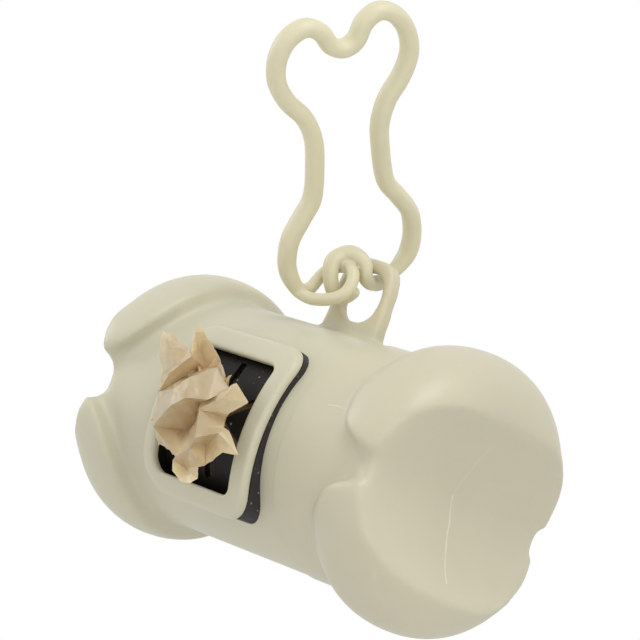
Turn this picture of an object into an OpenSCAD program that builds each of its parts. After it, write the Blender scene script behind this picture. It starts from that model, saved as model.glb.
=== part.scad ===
// Bone-shaped dispenser for dog waste bags, hanging from a bone-shaped wire clip.
// Millimetres. X runs along the tube, the window faces -Y, the hanging lug points to +Z.
// The origin is where a leash sits in the top bow of the clip.

/* [Case] */
// Outside diameter of the tube
tube_d = 40; // [38:0.5:44]
// Wall of the tube
tube_wall = 2.2; // [1.6:0.1:2.6]
// Distance from the middle of the case to the floor of either end valley
valley_x = 33; // [32.5:0.5:38]
// Wall between an end valley and the chamber
end_wall = 2; // [1.4:0.1:2.6]
// Distance from the middle of the case to the seam of the end cap
seam_x = 12.7; // [12.5:0.1:16]

/* [Knuckles] */
// Largest diameter over the lobes
knuckle_d = 47.8; // [46:0.2:52]
// Radius of each lobe, seen from the side
lobe_r = 9.7; // [9:0.1:10.5]
// Radius of the shoulder between a lobe and the tube
shoulder_r = 5.5; // [3:0.5:6]
// How far the valleys and the window sit below the axis of the tube
middle_drop = 1.2; // [0:0.1:2]

/* [End cap] */
// Length of the spigot that plugs into the tube
spigot_l = 4.2; // [3:0.2:4.2]
// Wall of the spigot
spigot_wall = 1.1; // [0.8:0.1:1.3]
// Radial gap between the spigot and the bore of the tube
spigot_gap = 0.08; // [0.04:0.01:0.1]

/* [Window] */
// Length of the window frame along the tube
frame_l = 25.6; // [25:0.2:28]
// Height of the window frame across the tube
frame_h = 29.8; // [28:0.2:31]
// Width of the bars of the frame
frame_bar = 3.4; // [2.8:0.1:3.8]
// Thickness of the frame
frame_t = 1.5; // [1:0.1:2.5]
// Outer corner radius of the frame
frame_corner_r = 4.5; // [3:0.5:6]
// Distance of the frame's centre from the middle of the case, towards the closed end
window_back = 3.4; // [3.2:0.1:4.2]
// Thickness of the slit insert over the middle of the tube
insert_rim = 1; // [0.6:0.1:1.6]
// Depth of the insert's plug in the wall of the tube
plug_depth = 1.4; // [1:0.1:1.6]
// Length of each slit from the centre of the star
slit_l = 9.8; // [8:0.2:10]
// Width of the slits
slit_w = 1; // [0.6:0.1:1.4]
// Radius of the opening where the slit flaps are pushed apart by the bag
slit_hole_r = 2.9; // [2.5:0.1:4]

/* [Lug] */
// Width of the hanging lug along the tube
lug_w = 12.4; // [12:0.2:15]
// Height of the lug above the tube
lug_h = 13.6; // [13:0.2:16]
// Thickness of the lug
lug_t = 2.8; // [2.2:0.1:2.9]
// Width of the lug's legs and of its top bar
lug_bar = 1.8; // [1.4:0.1:2]
// Outer corner radius of the lug
lug_corner_r = 4; // [3:0.5:5]

/* [Clip] */
// Depth of the clip's wire, square to the bone outline
wire_depth = 3.8; // [3.2:0.1:4]
// Width of the clip's wire in the bone outline
wire_w = 3; // [2.6:0.1:3.2]
// Width and depth of the wire at the arch, the hook and the eyelet
hook_wire = 2.5; // [2:0.1:2.6]
// Radius of the eyelet, to the middle of its wire
eyelet_r = 3.1; // [3:0.05:3.2]

/* [Bag roll] */
// Room round the wound bags in the tube, on the radius
roll_room = 2.3; // [2:0.1:4]
// Room at each end of the wound bags in the chamber
end_room = 2; // [1.5:0.1:4]
// Outside diameter of the paper core
core_d = 15; // [13:0.5:18]
// Wall of the paper core
core_wall = 1.2; // [0.8:0.1:1.6]
// How far the core stands out of each end of the roll
core_out = 0.5; // [0:0.1:0.8]
// Gap between the roll and what it rests on
roll_gap = 0.3; // [0.2:0.1:0.6]
// Diameter of the gathered bag film in the slits
film_d = 5; // [4:0.2:5.2]

/* [Hidden] */
$fn = 96;
over = 1;                       // cutters run this far past a face
tube_r = tube_d / 2;
bore_r = tube_r - tube_wall;
crown_r = knuckle_d / 2;
lobe_z = crown_r - lobe_r + 0.3;            // height of a lobe's centre above the axis
lobe_x = valley_x - 3.5;                    // station of the lobes' centres
tip_x = lobe_x + lobe_r;
neck_x = lobe_x - shoulder_r;               // where the knuckle rises from the tube
tip_round_r = lobe_r + 0.6;                 // rounding of the tips, seen along the tube
inner_r = 0.7 * lobe_r;                     // radius of a lobe's inner side, next to the notch
inner_z = inner_r + 2.4;
// the valley is a round groove that bites a little into both lobes
valley_bite = 0.2;
valley_step = valley_x - lobe_x;
valley_r = (pow(valley_step, 2) + pow(lobe_z, 2) - pow(lobe_r, 2)) / (2 * (lobe_r - valley_step));
valley_cx = valley_x + valley_r;
valley_edge_z = lobe_z * valley_r / (valley_r + lobe_r);
valley_edge_x = valley_cx - (valley_cx - lobe_x) * valley_r / (valley_r + lobe_r);
chamber_x = valley_x - end_wall;            // half the length of the chamber
spigot_r = bore_r - spigot_gap;
spigot_bore_r = spigot_r - spigot_wall;
// the frame is bent less than the tube, about an axis behind the middle of the tube
frame_z = -middle_drop - 0.3;
frame_bend = 6;
frame_base_r = tube_r + insert_rim + frame_bend;
plug_margin = 1.6;                          // how far the plug reaches under the bars
opening_l = frame_l - 2 * frame_bar;
opening_h = frame_h - 2 * frame_bar - 0.6;
opening_corner_r = 1.6;
plug_fit = 0.1;                             // gap round the plug in its hole
hole_l = opening_l + 2 * plug_margin;
hole_h = opening_h + 2 * plug_margin;
hole_reach = hole_h / 2 - frame_z;          // lowest edge of the hole, under the tube's axis
hole_back = over - sqrt(max(1, pow(bore_r, 2) - pow(hole_reach, 2)));
roll_r = bore_r - roll_room;
roll_l = 2 * (chamber_x - end_room);
roll_z = -(spigot_bore_r - roll_r - roll_gap);
lug_top_z = tube_r + lug_h;
lug_foot_z = bore_r + 0.8;
lug_hole_z = tube_r + 2.4;
lug_hole_r = 3;

// the clip's own frame: its outline stands in X and Z, and is then turned and carried here
clip_turn = [27, -36, 62];
clip_centre = [-0.6, -16.6, 46.8];
bow_z = 19.2;                               // top and bottom notches, above and below the centre
// [x, z, depth] of the wire's centreline, from the eyelet round the bone to the hook
clip_route = [
    [-7.6, -22.4, 2.4], [-9.4, -23.2, 1.4], [-11.1, -21.4, 0.5], [-11.8, -18.0, 0], [-11.0, -13.6, 0],
    [-8.8, -10.0, 0], [-6.6, -6.4, 0], [-5.9, 0, 0], [-6.0, 4.4, 0], [-7.4, 8.4, 0], [-10.2, 12.0, 0],
    [-11.8, 16.0, 0], [-11.4, 20.0, 0], [-9.4, 23.0, 0], [-6.4, 24.2, 0], [-3.8, 22.8, 0],
    [-2.2, 20.2, 0], [0, 19.2, 0], [2.2, 20.2, 0], [3.8, 23.0, 0], [6.4, 24.4, 0], [9.2, 23.2, 0],
    [11.2, 20.0, 0], [11.6, 16.0, 0], [10.0, 12.0, 0], [7.4, 8.4, 0], [6.0, 4.4, 0], [5.9, 0, 0],
    [6.6, -6.4, 0], [8.8, -10.0, 0], [11.0, -13.6, 0], [11.7, -18.0, 0], [10.6, -22.0, 0.2],
    [7.9, -23.6, 0.9], [5.8, -24.3, 1.5], [3.8, -24.8, 2.0], [2.2, -24.0, 2.6], [1.2, -22.8, 3.5],
    [0.6, -21.2, 4.0], [0.9, -19.3, 3.2], [0.1, -18.1, 1.7], [-1.6, -18.1, 0.6], [-3.8, -18.9, 0.8],
    [-4.7, -20.8, 1.7], [-4.9, -22.9, 2.5], [-4.9, -24.5, 3.0], [-4.1, -25.0, 4.2],
    [-3.1, -24.5, 5.5], [-2.2, -23.6, 6.2]];
full_from = 2;                              // route points between which the wire is at full size
full_to = 31;
route_steps = 3;                            // rings from one route point to the next
wire_sides = 10;
eyelet_centre = [-4.9, -21.7, 2.2];
eyelet_tilt = 12;

// bow of the clip where the leash sits, in the frame of the case
function turn_x(p, a) = [p[0], p[1] * cos(a) - p[2] * sin(a), p[1] * sin(a) + p[2] * cos(a)];
function turn_y(p, a) = [p[0] * cos(a) + p[2] * sin(a), p[1], -p[0] * sin(a) + p[2] * cos(a)];
function turn_z(p, a) = [p[0] * cos(a) - p[1] * sin(a), p[0] * sin(a) + p[1] * cos(a), p[2]];
function clip_place(p) =
    turn_z(turn_y(turn_x(p, clip_turn[0]), clip_turn[1]), clip_turn[2]) + clip_centre;
leash_point = clip_place([0, 0, bow_z - wire_w / 2]);

module at_leash() {
    translate(-leash_point) children();
}

// flat drawing in X and Z made into a solid along Y, from y0 to y1
module along_y(y0, y1) {
    translate([0, y1, 0]) rotate([90, 0, 0]) linear_extrude(y1 - y0) children();
}

// round solid about X; its profile is drawn with the radius across and the X station upwards
module about_x() {
    rotate([0, 90, 0]) rotate([0, 0, 180]) rotate_extrude() children();
}

module rounded_rectangle(w, h, r) {
    square([w - 2 * r, h], center = true);
    square([w, h - 2 * r], center = true);
    for (sx = [-1, 1])
        for (sz = [-1, 1])
            translate([sx * (w / 2 - r), sz * (h / 2 - r)]) circle(r);
}

module x_cylinder(r, x0, x1) {
    translate([x0, 0, 0]) rotate([0, 90, 0]) cylinder(r = r, h = x1 - x0);
}

// the two lobes of one end, seen from the side; less makes them smaller all round
module lobe_outline(less = 0) {
    difference() {
        union() {
            translate([lobe_x, lobe_z]) circle(lobe_r - less);
            for (side = [-1, 1]) {
                translate([lobe_x, side * lobe_z - middle_drop]) circle(lobe_r - less);
                translate([lobe_x, side * inner_z - middle_drop]) circle(inner_r - less);
            }
        }
        translate([valley_cx, -middle_drop]) circle(valley_r + valley_bite + less);
    }
}

// what fills the end between the lobes, up to the valley
module valley_outline(x0, less = 0) {
    difference() {
        translate([x0, -valley_edge_z - middle_drop])
            square([valley_edge_x - x0 - less, 2 * valley_edge_z]);
        translate([valley_cx, -middle_drop]) circle(valley_r + valley_bite + less);
    }
}

// half section of the round form that both lobes are cut from
module knuckle_profile() {
    translate([0, neck_x]) square([crown_r - shoulder_r, shoulder_r]);
    translate([crown_r - shoulder_r, lobe_x]) circle(shoulder_r);
    translate([0, lobe_x]) square([crown_r - tip_round_r, tip_round_r]);
    intersection() {
        translate([crown_r - tip_round_r, lobe_x]) circle(tip_round_r);
        translate([0, lobe_x]) square([crown_r + over, tip_round_r + over]);
    }
}

// outside of one knuckle on the +X end, with the tube under it from x0
module knuckle(x0) {
    intersection() {
        about_x() knuckle_profile();
        along_y(-crown_r - over, crown_r + over) lobe_outline();
    }
    intersection() {
        x_cylinder(tube_r, x0, tip_x);
        along_y(-tube_r - over, tube_r + over) {
            valley_outline(x0);
            translate([x0, -tube_r - over]) square([lobe_x - x0, 2 * (tube_r + over)]);
        }
    }
}

// chamber in one end, from x0 on the +X side
module chamber_end(x0) {
    intersection() {
        x_cylinder(bore_r, x0, tip_x);
        along_y(-bore_r - over, bore_r + over) {
            translate([x0, -bore_r - over]) square([lobe_x - x0, 2 * (bore_r + over)]);
            valley_outline(x0, end_wall);
            lobe_outline(end_wall);
        }
    }
}

module lug_plate() {
    difference() {
        along_y(-lug_t / 2, lug_t / 2) difference() {
            union() {
                translate([0, (lug_top_z + lug_hole_z) / 2])
                    rounded_rectangle(lug_w, lug_top_z - lug_hole_z, lug_corner_r);
                translate([-lug_w / 2, lug_foot_z])
                    square([lug_w, lug_top_z - lug_corner_r - lug_foot_z]);
            }
            translate([0, (lug_top_z - lug_bar + lug_hole_z) / 2])
                rounded_rectangle(lug_w - 2 * lug_bar, lug_top_z - lug_bar - lug_hole_z, lug_hole_r);
        }
        x_cylinder(bore_r + over / 2, -lug_w, lug_w);
    }
}

module at_window() {
    translate([-window_back, 0, frame_z]) children();
}

module body_shell() {
    color("#d9d4c1") at_leash() {
        difference() {
            union() {
                mirror([1, 0, 0]) knuckle(-seam_x);
            }
            mirror([1, 0, 0]) chamber_end(-seam_x - over);
            at_window() along_y(-tube_r - over, hole_back)
                rounded_rectangle(hole_l, hole_h, opening_corner_r);
        }
        lug_plate();
    }
}

module end_cap() {
    color("#dcd6bf") at_leash() difference() {
        union() {
            knuckle(seam_x);
            x_cylinder(spigot_r, seam_x - spigot_l, seam_x + over);
        }
        x_cylinder(spigot_bore_r, seam_x - spigot_l - over, seam_x + spigot_l);
        chamber_end(seam_x + spigot_l - over);
    }
}

// solid between the round of the tube and the flatter bend of the frame
module bent_block(r, depth) {
    intersection() {
        translate([0, frame_bend, frame_z]) x_cylinder(r, -valley_x, valley_x);
        translate([-valley_x, -r, -tube_r]) cube([2 * valley_x, depth, tube_d]);
    }
}

module slit_star() {
    for (arm = [0 : 5])
        rotate(30 + 60 * arm) {
            translate([0, -slit_w / 2]) square([slit_l - slit_w / 2, slit_w]);
            translate([slit_l - slit_w / 2, 0]) circle(d = slit_w, $fn = 24);
        }
    circle(slit_hole_r);
}

module slit_insert() {
    color("#26241f") at_leash() difference() {
        union() {
            difference() {
                intersection() {
                    at_window() along_y(-tube_r - frame_bend, 0)
                        rounded_rectangle(frame_l, frame_h, frame_corner_r);
                    bent_block(frame_base_r, tube_r + frame_bend);
                }
                x_cylinder(tube_r, -valley_x, valley_x);
            }
            difference() {
                intersection() {
                    at_window() along_y(-tube_r - over, -plug_depth)
                        rounded_rectangle(hole_l - 2 * plug_fit, hole_h - 2 * plug_fit, opening_corner_r);
                    x_cylinder(tube_r + insert_rim / 2, -valley_x, valley_x);
                    bent_block(frame_base_r, tube_r + frame_bend);
                }
                x_cylinder(tube_r - plug_depth, -valley_x, valley_x);
            }
        }
        at_window() along_y(-tube_r - frame_bend, 0) slit_star();
    }
}

module window_frame() {
    color("#d6d0bb") at_leash() difference() {
        intersection() {
            at_window() along_y(-tube_r - 2 * frame_bend, 0) difference() {
                rounded_rectangle(frame_l, frame_h, frame_corner_r);
                rounded_rectangle(opening_l, opening_h, opening_corner_r);
            }
            translate([0, frame_bend, frame_z]) x_cylinder(frame_base_r + frame_t, -valley_x, valley_x);
        }
        translate([0, frame_bend, frame_z]) x_cylinder(frame_base_r, -valley_x, valley_x);
    }
}

// smooth curve through the route points, and its wire size, at a step between two of them
function route_at(i) = clip_route[max(0, min(len(clip_route) - 1, i))];
function blend(a, b, c, d, t) =
    0.5 * (2 * b + (c - a) * t + (2 * a - 5 * b + 4 * c - d) * t * t + (3 * b - a - 3 * c + d) * t * t * t);
function ease(t) = t < 0 ? 0 : t > 1 ? 1 : t * t * (3 - 2 * t);
route_last = (len(clip_route) - 1) * route_steps;
route_line = [for (k = [0 : route_last])
    let (i = floor(k / route_steps), t = k / route_steps - i,
         p = blend(route_at(i - 1), route_at(i), route_at(i + 1), route_at(i + 2), t))
    [p[0], -p[2], p[1]]];
function fullness(k) = ease((k / route_steps - full_from + 2) / 2) * ease((full_to + 2 - k / route_steps) / 2);
function unit(v) = v / norm(v);
function heading(k) =
    unit(route_line[min(route_last, k + 1)] - route_line[max(0, k - 1)]);
function wire_ring(k) =
    let (dir = heading(k), across = unit(cross(dir, [0, 1, 0])), deep = cross(across, dir),
         size_w = hook_wire + (wire_w - hook_wire) * fullness(k),
         size_d = hook_wire + (wire_depth - hook_wire) * fullness(k))
    [for (s = [0 : wire_sides - 1]) let (a = 360 * s / wire_sides)
        route_line[k] + across * (size_w / 2 * cos(a)) + deep * (size_d / 2 * sin(a))];

module clip_wire() {
    rings = [for (k = [0 : route_last]) each wire_ring(k)];
    last = len(rings);
    quads = [for (k = [0 : route_last - 1]) for (s = [0 : wire_sides - 1])
        let (a = k * wire_sides + s, b = k * wire_sides + (s + 1) % wire_sides)
        [a, b, b + wire_sides, a + wire_sides]];
    sides = [for (q = quads) each [[q[0], q[1], q[2]], [q[0], q[2], q[3]]]];
    start_cap = [for (s = [0 : wire_sides - 1]) [last, (s + 1) % wire_sides, s]];
    end_base = route_last * wire_sides;
    end_cap_faces = [for (s = [0 : wire_sides - 1])
        [last + 1, end_base + s, end_base + (s + 1) % wire_sides]];
    tip = route_line[route_last] + heading(route_last) * (hook_wire / 3);
    polyhedron(points = concat(rings, [route_line[0], tip]),
               faces = concat(sides, start_cap, end_cap_faces));
}

module bone_clip() {
    color("#dcd6be") at_leash() translate(clip_centre) rotate(clip_turn) {
        clip_wire();
        translate([eyelet_centre[0], -eyelet_centre[2], eyelet_centre[1]])
            rotate([0, -eyelet_tilt, 0])
                rotate_extrude() translate([eyelet_r, 0]) circle(d = hook_wire, $fn = 32);
    }
}

module roll_core() {
    core_l = roll_l + 2 * core_out;
    color("#b89b72") at_leash() translate([0, 0, roll_z]) difference() {
        x_cylinder(core_d / 2, -core_l / 2, core_l / 2);
        x_cylinder(core_d / 2 - core_wall, -core_l, core_l);
    }
}

module bag_roll() {
    color("#c9a97c") at_leash() translate([0, 0, roll_z]) difference() {
        x_cylinder(roll_r, -roll_l / 2, roll_l / 2);
        x_cylinder(core_d / 2, -roll_l, roll_l);
    }
}

// one fold of the film: the smallest solid round small blocks at the given points
module film_fold(points) {
    hull()
        for (p = points)
            translate(p) cube(0.6, center = true);
}

// the film outside the star; X and Z are taken from the star's centre
film_throat_y = -(tube_r + insert_rim + 1.6);
film_throat = [for (a = [0 : 45 : 315]) [2.2 * cos(a), film_throat_y, 2.2 * sin(a)]];
film_folds = [
    [[-8.3, -26, 8.8], [-6.1, -30, 7.4], [-6.3, -25, 3.4], [-3.9, -29, 2.4]],
    [[-3.9, -26, 11.6], [-1.3, -29, 10.4], [-2.7, -31, 5], [1.9, -28, 6.4]],
    [[5.7, -26, 4.6], [7.9, -28, 3.6], [8.7, -27, 0.6], [2.5, -32, 2.2]],
    [[9.9, -27, -3.6], [6.5, -29, -1], [3.7, -32, -2.6], [6.7, -27, -6.6]],
    [[7.5, -27, -9.6], [4.5, -28, -10.8], [1.5, -31, -5.6], [1.7, -27, -9.4]],
    [[-3.3, -26, -6.4], [-5.3, -27, -4.6], [-2.5, -31, -2.4], [-6.3, -26, 0.4]]];
module bag_tail() {
    color("#ccae81") at_leash() at_window() {
        along_y(film_throat_y - 1, -roll_r - 1) circle(d = film_d);
        for (fold = film_folds)
            film_fold(concat(film_throat, fold));
    }
}

body_shell();
end_cap();
window_frame();
slit_insert();
bone_clip();
roll_core();
bag_roll();
bag_tail();
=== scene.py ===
"""Looks of a bone-shaped dispenser for dog waste bags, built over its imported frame.

Pieces are modelled in millimetres in the frame of the case (X along the tube, -Y out of the
window, +Z to the lug) and then placed in the frame of the model, in metres.
"""

import math

import bmesh
import bpy
from bpy.props import FloatProperty, FloatVectorProperty, IntProperty, PointerProperty
from mathutils import Matrix, Vector, noise


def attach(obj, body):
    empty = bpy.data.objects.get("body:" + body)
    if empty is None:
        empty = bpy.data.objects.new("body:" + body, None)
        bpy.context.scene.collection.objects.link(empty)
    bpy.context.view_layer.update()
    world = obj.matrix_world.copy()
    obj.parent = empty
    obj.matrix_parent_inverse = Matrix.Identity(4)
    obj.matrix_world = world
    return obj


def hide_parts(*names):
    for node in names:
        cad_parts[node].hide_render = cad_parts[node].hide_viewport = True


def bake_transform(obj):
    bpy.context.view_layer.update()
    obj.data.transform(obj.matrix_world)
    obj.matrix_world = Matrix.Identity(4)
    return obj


bl_info = {
    "name": "Bag dispenser",
    "version": (1, 0, 0),
    "blender": (4, 5, 0),
    "location": "3D View > Sidebar > Dispenser",
    "description": "Builds a bone-shaped dispenser for dog waste bags",
    "category": "Add Mesh",
}

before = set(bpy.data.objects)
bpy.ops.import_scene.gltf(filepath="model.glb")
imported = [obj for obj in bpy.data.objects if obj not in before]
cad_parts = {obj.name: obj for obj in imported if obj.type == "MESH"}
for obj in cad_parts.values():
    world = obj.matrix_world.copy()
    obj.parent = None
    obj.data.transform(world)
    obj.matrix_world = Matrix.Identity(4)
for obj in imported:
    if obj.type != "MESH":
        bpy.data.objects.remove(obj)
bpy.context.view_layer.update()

# where the leash sits in the bow of the clip, in the frame of the case, in mm
LEASH = Vector((2.14311, -28.5573, 59.5589))
NOTCH_DROP = 1.4  # how far the notches and the window sit below the tube's axis


# ---------------------------------------------------------------- sizes and colours


class DispenserSizes(bpy.types.PropertyGroup):
    """Sizes of the case, the window and the clip."""

    tube_r: FloatProperty(
        name="Tube radius", description="Outside radius of the shell's tube, in mm",
        default=20.0, min=18, max=22)
    cap_r: FloatProperty(
        name="Cap radius", description="Outside radius of the cap's tube, in mm",
        default=20.2, min=18, max=22)
    bore_r: FloatProperty(
        name="Bore radius", description="Radius of the chamber, in mm",
        default=17.8, min=15, max=19)
    crown_r: FloatProperty(
        name="Knuckle radius", description="Largest radius over the lobes, in mm",
        default=23.7, min=22, max=27)
    seam_x: FloatProperty(
        name="Seam", description="Distance of the cap's seam from the middle of the case, in mm",
        default=12.7, min=11, max=16)
    chamber_x: FloatProperty(
        name="Chamber", description="Half the length of the chamber, in mm",
        default=31.0, min=28, max=34)
    middle_drop: FloatProperty(
        name="Notch drop", description="How far notches and window sit below the tube's axis, in mm",
        default=NOTCH_DROP, min=0, max=3)
    lug_t: FloatProperty(
        name="Lug thickness", description="Thickness of the hanging lug, in mm",
        default=2.8, min=2, max=3)
    frame_w: FloatProperty(
        name="Frame length", description="Length of the window frame along the tube, in mm",
        default=25.0, min=24, max=28)
    frame_h: FloatProperty(
        name="Frame height", description="Height of the window frame, in mm",
        default=29.6, min=28, max=31)
    frame_bar: FloatProperty(
        name="Frame bar", description="Width of the frame's bars, in mm",
        default=3.9, min=3, max=5)
    wire_w: FloatProperty(
        name="Wire width", description="Width of the clip's wire in the bone outline, in mm",
        default=3.0, min=2, max=3.4)
    wire_d: FloatProperty(
        name="Wire depth", description="Depth of the clip's wire, in mm",
        default=3.8, min=2, max=4.2)


class DispenserLook(bpy.types.PropertyGroup):
    """Colours and the fineness of the moulded surfaces."""

    shell: FloatVectorProperty(
        name="Shell", description="Colour of the shell's plastic", subtype="COLOR",
        default=(0.600, 0.575, 0.432), min=0, max=1)
    cap: FloatVectorProperty(
        name="Cap", description="Colour of the cap's plastic", subtype="COLOR",
        default=(0.608, 0.568, 0.420), min=0, max=1)
    clip: FloatVectorProperty(
        name="Clip", description="Colour of the clip's plastic", subtype="COLOR",
        default=(0.720, 0.672, 0.470), min=0, max=1)
    insert: FloatVectorProperty(
        name="Insert", description="Colour of the slit insert", subtype="COLOR",
        default=(0.0085, 0.0075, 0.0062), min=0, max=1)
    film: FloatVectorProperty(
        name="Film", description="Colour of the bag film", subtype="COLOR",
        default=(0.725, 0.515, 0.262), min=0, max=1)
    board: FloatVectorProperty(
        name="Board", description="Colour of the roll's paper core", subtype="COLOR",
        default=(0.36, 0.235, 0.135), min=0, max=1)
    voxel: FloatProperty(
        name="Voxel", description="Fineness of the moulded surfaces, in mm",
        default=0.42, min=0.2, max=1)
    soften: IntProperty(
        name="Soften", description="Smoothing passes on the knuckles",
        default=60, min=0, max=200)


def sizes():
    return bpy.context.scene.dispenser_sizes


def look():
    return bpy.context.scene.dispenser_look


# ---------------------------------------------------------------- modelling helpers


def deselect():
    if bpy.context.object and bpy.context.object.mode != "OBJECT":
        bpy.ops.object.mode_set(mode="OBJECT")
    bpy.ops.object.select_all(action="DESELECT")


def only(piece):
    deselect()
    piece.select_set(True)
    bpy.context.view_layer.objects.active = piece


def open_mesh(piece):
    """Opens the piece for editing with all of its mesh selected."""
    only(piece)
    bpy.ops.object.mode_set(mode="EDIT")
    bpy.ops.mesh.select_all(action="SELECT")


def close_mesh():
    bpy.ops.object.mode_set(mode="OBJECT")


def added(name):
    """Names the primitive that was just added, with its place applied to its mesh."""
    piece = bpy.context.object
    piece.name = name
    piece.data.name = name
    only(piece)
    bpy.ops.object.transform_apply(location=True, rotation=True, scale=True)
    return piece


def linked(name, data):
    """Puts new object data into the scene."""
    piece = bpy.data.objects.new(name, data)
    bpy.context.scene.collection.objects.link(piece)
    return piece


def apply_modifier(piece, kind, **settings):
    only(piece)
    modifier = piece.modifiers.new(kind.title(), kind)
    for key, value in settings.items():
        setattr(modifier, key, value)
    bpy.ops.object.modifier_apply(modifier=modifier.name)


def combine(piece, other, operation):
    """Boolean of two closed pieces; the second one is used up."""
    apply_modifier(piece, "BOOLEAN", operation=operation, object=other, solver="EXACT")
    bpy.data.objects.remove(other)
    return piece


def joined(piece, other):
    """Puts the mesh of the second piece into the first one, as it is."""
    only(piece)
    other.select_set(True)
    bpy.ops.object.join()
    return piece


def outward(piece):
    """Welds the mesh and turns its normals outwards."""
    open_mesh(piece)
    bpy.ops.mesh.remove_doubles(threshold=0.0005)
    bpy.ops.mesh.normals_make_consistent(inside=False)
    close_mesh()
    return piece


def rod(name, radius, x0, x1, vertices=160):
    """Round bar along X."""
    deselect()
    bpy.ops.mesh.primitive_cylinder_add(
        vertices=vertices, radius=radius, depth=x1 - x0,
        location=((x0 + x1) / 2, 0, 0), rotation=(0, math.pi / 2, 0))
    return added(name)


def turned(name, outline, steps=144, closed=False):
    """Turns (x, radius) points round the X axis: a line with both ends on the axis, or a closed ring."""
    deselect()
    bpy.ops.mesh.primitive_circle_add(vertices=len(outline), radius=1)
    piece = added(name)
    for vertex, (x, radius) in zip(piece.data.vertices, outline):
        vertex.co = (x, 0, radius)
    bpy.ops.object.mode_set(mode="EDIT")
    if not closed:
        mesh = bmesh.from_edit_mesh(piece.data)
        bpy.ops.mesh.select_mode(type="EDGE")
        for edge in mesh.edges:
            edge.select_set({v.index for v in edge.verts} == {0, len(outline) - 1})
        bmesh.update_edit_mesh(piece.data)
        bpy.ops.mesh.delete(type="EDGE")
        bpy.ops.mesh.select_mode(type="VERT")
    bpy.ops.mesh.select_all(action="SELECT")
    bpy.ops.mesh.spin(
        steps=steps, dupli=False, angle=2 * math.pi, center=(0, 0, 0), axis=(1, 0, 0))
    close_mesh()
    return outward(piece)


def between(a, b, c, d, per):
    """Points of a round curve from b to just before c; a and d are the points beside them."""
    out = []
    for step in range(per):
        t = step / per
        square = (2 * a - 5 * b + 4 * c - d) * t * t
        out.append(0.5 * (2 * b + (c - a) * t + square + (3 * b - a - 3 * c + d) * t ** 3))
    return out


def smooth_loop(points, per=6):
    """Round curve through a closed list of points."""
    count = len(points)
    out = []
    for i in range(count):
        out += between(*(Vector(points[(i + k) % count]) for k in (-1, 0, 1, 2)), per)
    return out


def smooth_line(points, per=6):
    """Round curve through an open list of points."""
    last = len(points) - 1
    out = []
    for i in range(last):
        out += between(*(Vector(points[max(0, min(last, i + k))]) for k in (-1, 0, 1, 2)), per)
    return out + [Vector(points[-1])]


def prism(name, outline, y0, y1):
    """Flat outline of (x, z) points made into a solid along Y."""
    deselect()
    bpy.ops.mesh.primitive_circle_add(vertices=len(outline), radius=1, fill_type="NGON")
    piece = added(name)
    for vertex, point in zip(piece.data.vertices, outline):
        vertex.co = (point[0], y0, point[1])
    open_mesh(piece)
    bpy.ops.mesh.extrude_region_move(TRANSFORM_OT_translate={"value": (0, y1 - y0, 0)})
    close_mesh()
    return outward(piece)


def rounded_outline(x0, x1, z0, z1, radii, steps=8):
    """Rectangle with round corners: one radius, or four from the upper right one onwards."""
    if not isinstance(radii, tuple):
        radii = (radii,) * 4
    corners = ((x1, z1, -1, -1, 0), (x0, z1, 1, -1, 90), (x0, z0, 1, 1, 180), (x1, z0, -1, 1, 270))
    out = []
    for radius, (x, z, inward_x, inward_z, start) in zip(radii, corners):
        for step in range(steps + 1):
            angle = math.radians(start + 90 * step / steps)
            out.append((x + inward_x * radius + radius * math.cos(angle),
                        z + inward_z * radius + radius * math.sin(angle)))
    return out


def ramp(value, low, high):
    """Runs smoothly from 0 at low to 1 at high."""
    t = max(0.0, min(1.0, (value - low) / (high - low)))
    return t * t * (3 - 2 * t)


def weigh(piece, where):
    """Vertex group with the weights that where() gives for each vertex; returns its name."""
    group = piece.vertex_groups.new(name="weights")
    for vertex in piece.data.vertices:
        weight = where(vertex.co)
        if weight > 0:
            group.add([vertex.index], min(1.0, weight), "REPLACE")
    return group.name


def soften(piece, passes, where=None, factor=0.5):
    """Smoothing passes, all over or weighted by where()."""
    settings = {"factor": factor, "iterations": passes}
    if where:
        settings["vertex_group"] = weigh(piece, where)
    apply_modifier(piece, "SMOOTH", **settings)
    piece.vertex_groups.clear()


def swell(piece, height, where):
    """Moves the vertices that where() picks out along Y, so that the side stands prouder there."""
    apply_modifier(
        piece, "DISPLACE", strength=height, mid_level=0.0, direction="Y",
        vertex_group=weigh(piece, where))
    piece.vertex_groups.clear()


def cut_plane(piece, x, keep_high):
    """Cuts the piece square to X and closes the cut."""
    open_mesh(piece)
    bpy.ops.mesh.bisect(
        plane_co=(x, 0, 0), plane_no=(1, 0, 0), use_fill=True,
        clear_inner=keep_high, clear_outer=not keep_high)
    close_mesh()


def place(piece, name, node, body, material, angle=35):
    """Puts a finished piece in the frame of the model, dresses it and ties it to its body."""
    piece.name = name
    piece.data.transform(Matrix.Scale(0.001, 4) @ Matrix.Translation(-LEASH))
    piece.data.materials.clear()
    piece.data.materials.append(material)
    only(piece)
    bpy.ops.object.shade_smooth_by_angle(angle=math.radians(angle))
    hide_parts(node)
    if body:
        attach(piece, body)


# ---------------------------------------------------------------- materials


def node_group(name, inputs, outputs, build):
    group = bpy.data.node_groups.get(name)
    if group:
        return group
    group = bpy.data.node_groups.new(name, "ShaderNodeTree")
    for label, kind, default in inputs:
        socket = group.interface.new_socket(name=label, in_out="INPUT", socket_type=kind)
        socket.default_value = default
    for label, kind in outputs:
        group.interface.new_socket(name=label, in_out="OUTPUT", socket_type=kind)
    source = group.nodes.new("NodeGroupInput")
    target = group.nodes.new("NodeGroupOutput")
    build(group, source.outputs, target.inputs)
    return group


def feed(tree, socket, value):
    """Links an output to a socket, or writes a constant into it."""
    if isinstance(value, (int, float, tuple)):
        socket.default_value = value
    else:
        tree.links.new(value, socket)


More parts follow.
